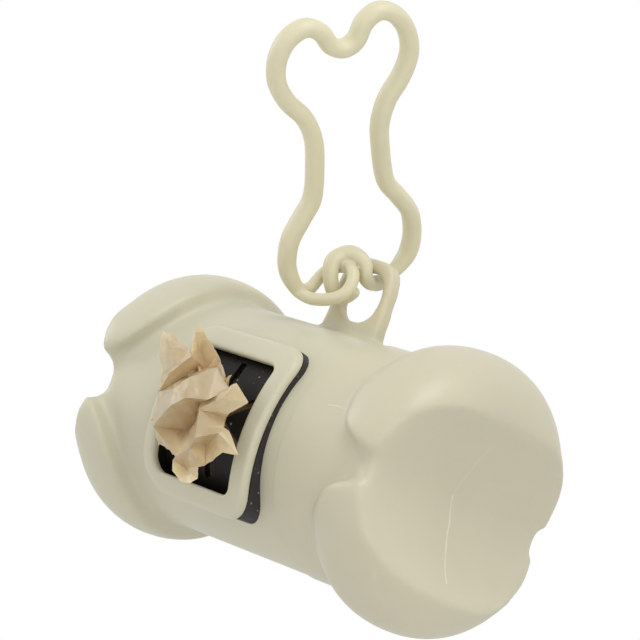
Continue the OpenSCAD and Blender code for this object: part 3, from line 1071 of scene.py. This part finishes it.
# the eyelet leaves the left lobe, goes round the hook and closes on the lobe again
EYELET = [
    (-11.4, -20.6, 0.2), (-10.95, -22.2, 0.8), (-10.15, -23.3, 1.7), (-9.1, -23.75, 3.0),
    (-7.94, -23.55, 4.5), (-6.69, -23.03, 5.9), (-5.56, -22.52, 6.7), (-4.4, -21.9, 7.0),
    (-3.33, -21.19, 6.7), (-2.39, -20.32, 5.9), (-1.89, -19.68, 4.8), (-1.74, -19.8, 3.0),
    (-2.09, -20.56, 1.0), (-2.86, -21.35, -0.7), (-3.94, -22.27, -1.7), (-5.04, -23.01, -1.8),
    (-6.26, -23.74, -1.4), (-7.45, -24.18, -0.8), (-9.15, -23.78, 0.0), (-10.44, -22.71, 0.6)]
CLIP_CENTRE = Vector((-0.6, -16.6, 46.8))
CLIP_TURNS = (27, -36, 62)  # about X, Y and Z, in degrees
LINE_STEPS = 8  # points of the wire between two points of its outline
THIN_WIRE = 2.25  # depth of the wire where it runs out into the eyelet and the hook
HOOK_GIRTH = 0.82
HOOK_END_R = 1.13
EYELET_WIDE, EYELET_DEEP = 2.05, 2.1


def clip_turn():
    """Turns (across, up, depth) of the clip into the frame of the case."""
    x, y, z = (math.radians(a) for a in CLIP_TURNS)
    turn = Matrix.Rotation(z, 4, "Z") @ Matrix.Rotation(y, 4, "Y") @ Matrix.Rotation(x, 4, "X")
    swap = Matrix(((1, 0, 0, 0), (0, 0, -1, 0), (0, 1, 0, 0), (0, 0, 0, 1)))
    return Matrix.Translation(CLIP_CENTRE) @ turn @ swap


def wire_section(wide, deep):
    """Closed flat curve: a rounded box with a hint of the mould line on its two sides."""
    data = bpy.data.curves.new("wire section", "CURVE")
    data.dimensions = "2D"
    spline = data.splines.new("POLY")
    count = 40
    fullness = 0.86
    spline.points.add(count - 1)
    for i in range(count):
        angle = 2 * math.pi * i / count
        c, s = math.cos(angle), math.sin(angle)
        x = math.copysign(abs(c) ** fullness, c) * wide / 2
        y = math.copysign(abs(s) ** fullness, s) * deep / 2
        if i in (0, count // 2):
            x *= 1.035
        spline.points[i].co = (x, y, 0, 1)
    spline.use_cyclic_u = True
    return linked("wire section", data)


def swept_wire(name, points, radii, wide, deep):
    """Sweeps the wire's section along the points, scaled by the radii."""
    section = wire_section(wide, deep)
    data = bpy.data.curves.new(name, "CURVE")
    data.dimensions = "3D"
    data.twist_mode = "Z_UP"
    data.bevel_mode = "OBJECT"
    data.bevel_object = section
    data.use_fill_caps = True
    spline = data.splines.new("POLY")
    spline.points.add(len(points) - 1)
    for target, point, radius in zip(spline.points, points, radii):
        target.co = (*point, 1)
        target.radius = radius
    only(linked(name, data))
    bpy.ops.object.convert(target="MESH")
    wire = outward(bpy.context.object)
    bpy.data.objects.remove(section)
    return wire


def wire_girths(count, slim):
    """The wire is full in the bone outline and slim in the eyelet's root and the hook."""
    girths = []
    for i in range(count):
        k = i / LINE_STEPS
        fullness = ramp(k, -0.5, 1.6) * (1 - ramp(k, 30.5, 33.5))
        hook = ramp(k, 31.5, 34.0) * (1 - 0.25 * ramp(k, 42.5, 45.0))
        girths.append(max(slim + (1 - slim) * fullness, HOOK_GIRTH * hook))
    return girths


def build_clip():
    s, l = sizes(), look()
    line = smooth_line(CLIP, LINE_STEPS)
    wire = swept_wire("clip wire", line, wire_girths(len(line), THIN_WIRE / s.wire_d), s.wire_w, s.wire_d)
    deselect()
    bpy.ops.mesh.primitive_uv_sphere_add(
        segments=24, ring_count=14, radius=HOOK_END_R, location=line[-1])
    joined(wire, added("wire end"))
    path = smooth_line(EYELET, 6)
    last = len(path) - 1
    # the eyelet is thicker where it leaves the lobe and where it closes on it
    girths = [1.0 + 0.2 * (1 - ramp(i / last, 0, 0.14)) + 0.1 * ramp(i / last, 0.85, 1.0)
              for i in range(last + 1)]
    joined(wire, swept_wire("eyelet wire", path, girths, EYELET_WIDE, EYELET_DEEP))
    apply_modifier(wire, "REMESH", mode="VOXEL", voxel_size=0.2)
    soften(wire, 4)
    wire.data.transform(clip_turn())
    plastic = satin_plastic("clip plastic", tuple(l.clip), 0.36, 0.25)
    place(wire, "clip_wire", "bone_clip", "clip", plastic, 50)


class DISPENSER_OT_clip(bpy.types.Operator):
    """Bone-shaped wire clip with its eyelet and hook"""

    bl_idname = "dispenser.clip"
    bl_label = "Clip"

    def execute(self, context):
        build_clip()
        return {"FINISHED"}


# ---------------------------------------------------------------- the bags

# corners and folds of the film outside the window, in mm
FOLDS = {
    "spike_tip": (-6.1, -28.5, 11.5), "spike_left_1": (-6.3, -28.3, 9.7),
    "spike_left_2": (-4.9, -29.0, 7.2), "spike_left_3": (-3.9, -29.5, 5.6),
    "spike_right_1": (-5.3, -27.5, 10.4), "spike_right_2": (-4.2, -26.3, 9.0),
    "spike_right_3": (-2.8, -25.8, 8.2), "spike_right_4": (-1.5, -25.3, 6.8),
    "spike_right_5": (1.4, -25.2, 4.2), "spike_valley_1": (-6.7, -25.6, 7.8),
    "spike_valley_2": (-5.0, -24.4, 5.3), "panel_top_left": (-3.5, -30.5, 0.0),
    "panel_top": (-1.5, -30.2, 2.3), "panel_top_right": (0.7, -27.5, 5.4),
    "panel_right": (3.9, -26.5, 2.7), "panel_low": (3.3, -29.5, -0.1),
    "panel_low_left": (0.4, -31.5, -1.1), "ridge": (-2.6, -31.0, -3.0),
    "left_tip": (-8.3, -27.5, -6.9), "left_1": (-10.5, -26.3, -3.8), "left_2": (-11.6, -25.8, -1.2),
    "left_3": (-12.9, -25.6, 1.8), "fan_1": (-16.1, -26.0, 8.5), "fan_2": (-13.1, -26.8, 8.4),
    "fan_3": (-10.9, -26.5, 7.7), "fan_4": (-5.8, -28.5, 6.7), "fan_5": (-7.2, -28.4, 3.9),
    "fan_6": (-14.2, -25.4, 3.5), "fan_7": (-15.5, -25.4, 5.1), "fan_mid": (-9.8, -28.6, 6.1),
    "band_1": (-7.3, -29.2, 2.2), "band_2": (-7.7, -26.6, 1.4), "under_1": (0.0, -27.6, -0.7),
    "under_2": (-1.8, -25.0, -3.4), "under_3": (-3.1, -24.8, -5.6), "fray_1": (-7.2, -25.4, -9.1),
    "fray_2": (-2.8, -26.6, -9.7), "fray_3": (0.2, -28.4, -10.1), "lobe_1": (-0.9, -27.6, -10.9),
    "lobe_2": (0.3, -28.0, -12.5), "lobe_3": (3.1, -28.4, -13.6), "lobe_4": (5.5, -28.4, -13.5),
    "lobe_5": (6.2, -28.0, -12.3), "lobe_6": (5.9, -28.6, -10.6), "lobe_mid": (0.6, -26.3, -11.2),
    "fold_0": (1.6, -28.0, -0.2), "fold_1": (2.9, -29.8, -2.0), "fold_2": (4.3, -30.4, -4.6),
    "fold_3": (4.8, -30.5, -6.4), "fold_4": (4.3, -30.2, -8.2), "fold_5": (5.7, -29.6, -9.4),
    "wing_1": (5.8, -27.4, 4.1), "wing_2": (9.0, -26.4, 1.8), "wing_3": (6.6, -27.2, -0.9),
    "wing_mid": (5.2, -28.6, 1.0), "side_1": (4.9, -25.8, -1.6), "side_2": (5.9, -26.4, -3.3),
    "barb_tip": (10.3, -25.4, -6.6), "barb_1": (6.5, -27.6, -4.4), "barb_2": (6.7, -26.0, -3.3),
    "hem_1": (7.8, -26.6, -7.0), "hem_2": (5.1, -26.4, -9.9), "hem_mid": (3.4, -26.2, -6.9)}

# flat pieces of film between the folds
PANELS = """
spike_tip spike_left_1 spike_right_1; spike_left_1 spike_valley_1 spike_right_1
spike_left_1 spike_left_2 spike_valley_1; spike_right_1 spike_valley_1 spike_right_2
spike_left_2 spike_left_3 spike_valley_1; spike_left_3 spike_valley_2 spike_valley_1
spike_valley_1 spike_valley_2 spike_right_2; spike_right_2 spike_valley_2 spike_right_3
spike_right_3 spike_valley_2 spike_right_4; spike_right_4 spike_valley_2 panel_top_right
spike_right_4 panel_top_right spike_right_5; panel_top_right panel_right spike_right_5
panel_top_left panel_low_left panel_top; panel_top panel_low_left panel_low
panel_top panel_low panel_top_right; panel_top_right panel_low panel_right
spike_valley_2 spike_left_3 band_2; spike_valley_2 band_2 panel_top_left
spike_valley_2 panel_top_left panel_top; spike_valley_2 panel_top panel_top_right
spike_left_3 fan_5 band_1; spike_left_3 band_1 band_2; band_1 fan_5 left_3; band_1 left_3 left_2
band_1 left_2 band_2; band_2 left_2 panel_top_left; panel_top_left left_2 left_1
panel_top_left left_1 ridge; panel_top_left ridge panel_low_left; ridge left_1 left_tip
fan_1 fan_2 fan_mid; fan_2 fan_3 fan_mid; fan_3 fan_4 fan_mid; fan_4 fan_5 fan_mid; fan_5 fan_6 fan_mid
fan_6 fan_7 fan_mid; fan_7 fan_1 fan_mid; fan_4 spike_left_3 fan_5; fan_5 left_3 fan_6
ridge left_tip under_3; ridge under_3 under_2; panel_low_left ridge under_2
panel_low_left under_2 under_1; panel_low_left under_1 panel_low; left_tip fray_3 under_3
left_tip fray_2 fray_3; left_tip fray_1 fray_2; under_1 fold_0 fold_1; under_1 fold_1 under_2
fold_1 fold_2 under_2; fold_2 under_3 under_2; fold_2 fold_3 under_3; fold_3 fold_4 under_3
under_3 fold_4 fray_3; fray_3 fold_4 lobe_mid; fray_3 lobe_mid lobe_1; fold_4 fold_5 lobe_mid
fold_5 lobe_6 lobe_mid; lobe_1 lobe_mid lobe_2; lobe_2 lobe_mid lobe_3; lobe_3 lobe_mid lobe_4
lobe_4 lobe_mid lobe_5; lobe_5 lobe_mid lobe_6; fold_0 wing_1 wing_mid; fold_0 wing_mid fold_1
wing_1 wing_2 wing_mid; wing_mid wing_2 wing_3; fold_1 wing_mid wing_3; fold_1 wing_3 side_1
fold_1 side_1 fold_2; fold_2 side_1 side_2; fold_2 side_2 fold_3; side_2 barb_2 barb_1
barb_2 barb_tip barb_1; fold_3 side_2 barb_1; fold_3 barb_1 hem_mid; fold_3 hem_mid fold_4
fold_4 hem_mid fold_5; barb_1 barb_tip hem_1; barb_1 hem_1 hem_mid; hem_mid hem_1 hem_2
hem_mid hem_2 fold_5; fold_5 hem_2 lobe_6
"""
FILM_OUTSIDE_Y = -22.5  # beyond this the film is crumpled by the noise
FILM_THICKNESS = 0.08
SLIT_CENTRE = (-3.0, -1.5)
# y and radius of the film's neck, from the roll to the flower of film outside
NECK_STATIONS = [
    (-14.4, 1.5), (-15.4, 1.7), (-16.6, 1.7), (-17.8, 1.6), (-19.0, 1.5), (-20.2, 1.5),
    (-21.2, 1.6), (-22.2, 2.1), (-23.2, 3.0), (-24.2, 4.2), (-25.2, 5.6), (-26.2, 6.8)]
PLEATS = 22


def mesh_piece(name, points, faces):
    data = bpy.data.meshes.new(name)
    data.from_pydata([tuple(p) for p in points], [], faces)
    data.update()
    return linked(name, data)


def film_neck():
    """Pleated film from the roll out through the slits, opening outwards like a flower."""
    points, faces = [], []
    for row, (y, radius) in enumerate(NECK_STATIONS):
        for i in range(PLEATS):
            angle = 2 * math.pi * i / PLEATS + 0.05 * row
            r = radius * (1.22 if i % 2 else 0.8) * (1 + 0.10 * math.sin(3.1 * i + row * 0.4))
            points.append((SLIT_CENTRE[0] + r * math.cos(angle), y + 0.25 * math.sin(2.3 * i + row),
                           SLIT_CENTRE[1] + r * math.sin(angle)))
            if row:
                a, b = (row - 1) * PLEATS, row * PLEATS
                j = (i + 1) % PLEATS
                faces.append((a + i, a + j, b + j, b + i))
    return mesh_piece("film neck", points, faces)


def crumpled(vertex):
    """Where crumpling moves a point of the film."""
    co = vertex.co
    amount = noise.noise(co * 0.55) * 0.3
    amount += noise.noise(co * 1.3 + Vector((7, 3, 1))) * 0.14
    amount += noise.noise(co * 3.1) * 0.03
    return co + vertex.normal * amount + Vector((0, 0.15 * amount, 0))


def build_film():
    names = list(FOLDS)
    panels = [text.split() for text in PANELS.replace("\n", ";").split(";") if text.split()]
    faces = [tuple(names.index(word) for word in panel) for panel in panels]
    film = joined(mesh_piece("film outside", FOLDS.values(), faces), film_neck())
    apply_modifier(film, "SUBSURF", subdivision_type="SIMPLE", levels=3, render_levels=3)
    soften(film, 1, factor=0.3)
    for vertex in film.data.vertices:
        if vertex.co.y <= FILM_OUTSIDE_Y:
            vertex.co = crumpled(vertex)
    open_mesh(film)
    bpy.ops.mesh.normals_make_consistent(inside=False)
    close_mesh()
    apply_modifier(film, "SOLIDIFY", thickness=FILM_THICKNESS, offset=0.0)
    place(film, "film_tail", "bag_tail", None, film_material(), 24)
    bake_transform(film)


ROLL_Z = -0.82
ROLL_END, ROLL_R = 29.0, 15.5
CORE_R, CORE_HOLE_R = 7.5, 6.3
FILM_EDGES = 24  # edges of film that show on an end of the roll
SIDE_STEPS = 30


def wound_outline():
    """Half section of the roll, with slightly uneven layers on its ends and its side."""
    face = []
    for step in range(FILM_EDGES + 1):
        r = CORE_R + 0.02 + (ROLL_R - 0.5 - CORE_R) * step / FILM_EDGES
        face.append((ROLL_END - 0.28 * (step % 2) - 0.12 * math.sin(step * 1.7), r))
    side = [(ROLL_END - 0.5, ROLL_R - 0.12)]
    for step in range(1, SIDE_STEPS):
        x = ROLL_END - 0.5 - (2 * ROLL_END - 1.0) * step / SIDE_STEPS
        side.append((x, ROLL_R - 0.04 - 0.05 * (1 + math.sin(step * 2.1))))
    side.append((-ROLL_END + 0.5, ROLL_R - 0.12))
    return face + side + [(-x, r) for x, r in reversed(face)]


def dent_roll(roll):
    """Presses shallow dents into the side of the roll."""
    for vertex in roll.data.vertices:
        co = vertex.co
        r = math.hypot(co.y, co.z)
        if r > CORE_R + 1.5:
            turn = math.atan2(co.z, co.y)
            uneven = noise.noise(Vector((co.x * 0.06, co.y * 0.12, co.z * 0.12)))
            dent = 0.10 * max(0.0, math.sin(turn * 5 + co.x * 0.05)) + 0.16 * max(0.0, uneven)
            vertex.co.y *= 1 - dent / r
            vertex.co.z *= 1 - dent / r


def build_roll():
    """Wound film and its paper core."""
    roll = turned("wound bags", wound_outline(), 144, closed=True)
    dent_roll(roll)
    roll.data.transform(Matrix.Translation((0, 0, ROLL_Z)))
    place(roll, "wound_roll", "bag_roll", "roll", wound_material(), 30)
    length, wall, edge = ROLL_END + 0.5, CORE_R - 0.03, 0.15
    half = [(length - edge, CORE_HOLE_R), (length, CORE_HOLE_R + edge)]
    half += [(length, wall - edge), (length - edge, wall)]
    other_half = [(-x, r) for x, r in reversed(half)]
    outline = other_half[2:] + half + other_half[:2]
    core = turned("paper core", outline, 96, closed=True)
    core.data.transform(Matrix.Translation((0, 0, ROLL_Z)))
    place(core, "core_tube", "roll_core", "roll", board_material(), 40)


class DISPENSER_OT_roll(bpy.types.Operator):
    """Wound bags on their paper core, inside the tube"""

    bl_idname = "dispenser.roll"
    bl_label = "Bag roll"

    def execute(self, context):
        build_roll()
        return {"FINISHED"}


class DISPENSER_OT_film(bpy.types.Operator):
    """Crumpled end of the next bag, pulled out through the slits"""

    bl_idname = "dispenser.film"
    bl_label = "Bag film"

    def execute(self, context):
        build_film()
        return {"FINISHED"}


# ---------------------------------------------------------------- the stage

CAMERA_TURNS = (41.240, -2.751, 21.440)  # azimuth, elevation and roll, in degrees
CAMERA_DISTANCE = 0.40264
CAMERA_TARGET = Vector((12.7, 0, 0))
# the target sits off the middle of the picture: where it lies in the camera's own frame
CAMERA_ASIDE = Vector((0.01716, -0.05942, -1))
FOCAL_PIXELS, PICTURE_PIXELS = 2442.5, 640
SENSOR_WIDTH = 36.0


def camera_axes():
    azimuth, elevation, roll = (math.radians(a) for a in CAMERA_TURNS)
    level = math.cos(elevation)
    back = Vector((math.sin(azimuth) * level, -math.cos(azimuth) * level, math.sin(elevation)))
    right = Vector((math.cos(azimuth), math.sin(azimuth), 0))
    up = back.cross(right)
    across = math.cos(roll) * right + math.sin(roll) * up
    upward = -math.sin(roll) * right + math.cos(roll) * up
    return across, upward, back


def build_camera():
    """Camera that sees the object as the photograph does; it looks aside instead of shifting."""
    across, upward, back = camera_axes()
    target = (CAMERA_TARGET - LEASH) / 1000
    data = bpy.data.cameras.new("camera")
    data.sensor_width = SENSOR_WIDTH
    data.lens = FOCAL_PIXELS / PICTURE_PIXELS * SENSOR_WIDTH
    data.clip_start, data.clip_end = 0.02, 20
    camera = linked("camera", data)
    aside = CAMERA_ASIDE.normalized().rotation_difference(Vector((0, 0, -1)))
    turn = (Matrix((across, upward, back)).transposed() @ aside.to_matrix()).to_4x4()
    camera.matrix_world = Matrix.Translation(target + back * CAMERA_DISTANCE) @ turn
    bpy.context.scene.camera = camera


def lamp(name, direction, distance, size, power):
    """Round soft lamp that looks at the middle of the case; distance and size in metres."""
    middle = (Vector((0, 0, 15)) - LEASH) / 1000
    data = bpy.data.lights.new(name, "AREA")
    data.shape = "DISK"
    data.size = size
    data.energy = power
    lamp_object = linked(name, data)
    away = direction.normalized()
    lamp_object.location = middle + away * distance
    lamp_object.rotation_euler = away.to_track_quat("Z", "Y").to_euler()


def build_lamps():
    across, upward, back = camera_axes()
    lamp("key lamp", back * 0.6 + upward * 1.0 + across * 0.3, 0.9, 0.55, 2.9)
    lamp("fill lamp", back * 1.0 + across * 0.5 + upward * 0.1, 1.1, 0.9, 1.6)
    lamp("rim lamp", -back * 0.4 - across * 0.9 + upward * 0.5, 0.9, 0.5, 1.2)


WORLD_LIGHT = 0.66
WHITE_SEEN = 0.34  # added where the world is seen, which makes it white


def build_world():
    """Plain light all round; the world is white where it is seen and in what reflects it."""
    world = bpy.data.worlds.new("studio")
    bpy.context.scene.world = world
    world.use_nodes = True
    tree = world.node_tree
    background = tree.nodes["Background"]
    path = tree.nodes.new("ShaderNodeLightPath")
    seen = at_least(tree, path.outputs["Is Camera Ray"], path.outputs["Is Transmission Ray"])
    seen = at_least(tree, seen, times(tree, path.outputs["Is Glossy Ray"], 0.85))
    background.inputs["Color"].default_value = (1, 1, 1, 1)
    tree.links.new(plus(tree, WORLD_LIGHT, times(tree, seen, WHITE_SEEN)), background.inputs["Strength"])


def floor_material():
    """Pale floor, white where the camera sees it."""
    material = bpy.data.materials.new("pale floor")
    material.use_nodes = True
    tree = material.node_tree
    shader = tree.nodes["Principled BSDF"]
    shader.inputs["Base Color"].default_value = (0.86, 0.86, 0.86, 1)
    shader.inputs["Roughness"].default_value = 0.9
    glow = tree.nodes.new("ShaderNodeEmission")
    path = tree.nodes.new("ShaderNodeLightPath")
    mix = tree.nodes.new("ShaderNodeMixShader")
    tree.links.new(path.outputs["Is Camera Ray"], mix.inputs[0])
    tree.links.new(shader.outputs[0], mix.inputs[1])
    tree.links.new(glow.outputs[0], mix.inputs[2])
    tree.links.new(mix.outputs[0], tree.nodes["Material Output"].inputs["Surface"])
    return material


def build_floor():
    deselect()
    bpy.ops.mesh.primitive_circle_add(vertices=96, radius=900, fill_type="NGON", location=(0, 0, -70))
    floor = added("floor")
    open_mesh(floor)
    bpy.ops.mesh.inset(thickness=400)
    close_mesh()
    floor.data.transform(Matrix.Scale(0.001, 4) @ Matrix.Translation(-LEASH))
    floor.data.materials.append(floor_material())


class DISPENSER_OT_stage(bpy.types.Operator):
    """Camera, soft studio lamps, white backdrop and floor"""

    bl_idname = "dispenser.stage"
    bl_label = "Stage"

    def execute(self, context):
        build_camera()
        build_lamps()
        build_world()
        build_floor()
        context.scene.view_settings.view_transform = "Standard"
        return {"FINISHED"}


# ---------------------------------------------------------------- panel and registration

OPERATORS = [
    DISPENSER_OT_stage, DISPENSER_OT_shell, DISPENSER_OT_cap, DISPENSER_OT_window,
    DISPENSER_OT_clip, DISPENSER_OT_roll, DISPENSER_OT_film]


class DISPENSER_PT_panel(bpy.types.Panel):
    """Lists the pieces of the dispenser in the sidebar"""

    bl_idname = "DISPENSER_PT_panel"
    bl_label = "Bag dispenser"
    bl_space_type = "VIEW_3D"
    bl_region_type = "UI"
    bl_category = "Dispenser"

    def draw(self, context):
        for operator in OPERATORS:
            self.layout.operator(operator.bl_idname)
        for group in (context.scene.dispenser_sizes, context.scene.dispenser_look):
            for key in group.__annotations__:
                self.layout.prop(group, key)


CLASSES = [DispenserSizes, DispenserLook] + OPERATORS + [DISPENSER_PT_panel]


def register():
    for kind in CLASSES:
        bpy.utils.register_class(kind)
    bpy.types.Scene.dispenser_sizes = PointerProperty(type=DispenserSizes)
    bpy.types.Scene.dispenser_look = PointerProperty(type=DispenserLook)


def unregister():
    for kind in reversed(CLASSES):
        bpy.utils.unregister_class(kind)
    del bpy.types.Scene.dispenser_sizes
    del bpy.types.Scene.dispenser_look


def main():
    register()
    bpy.ops.dispenser.stage()
    bpy.ops.dispenser.shell()
    bpy.ops.dispenser.cap()
    bpy.ops.dispenser.window()
    bpy.ops.dispenser.clip()
    bpy.ops.dispenser.roll()
    bpy.ops.dispenser.film()


if __name__ == "__main__":
    main()
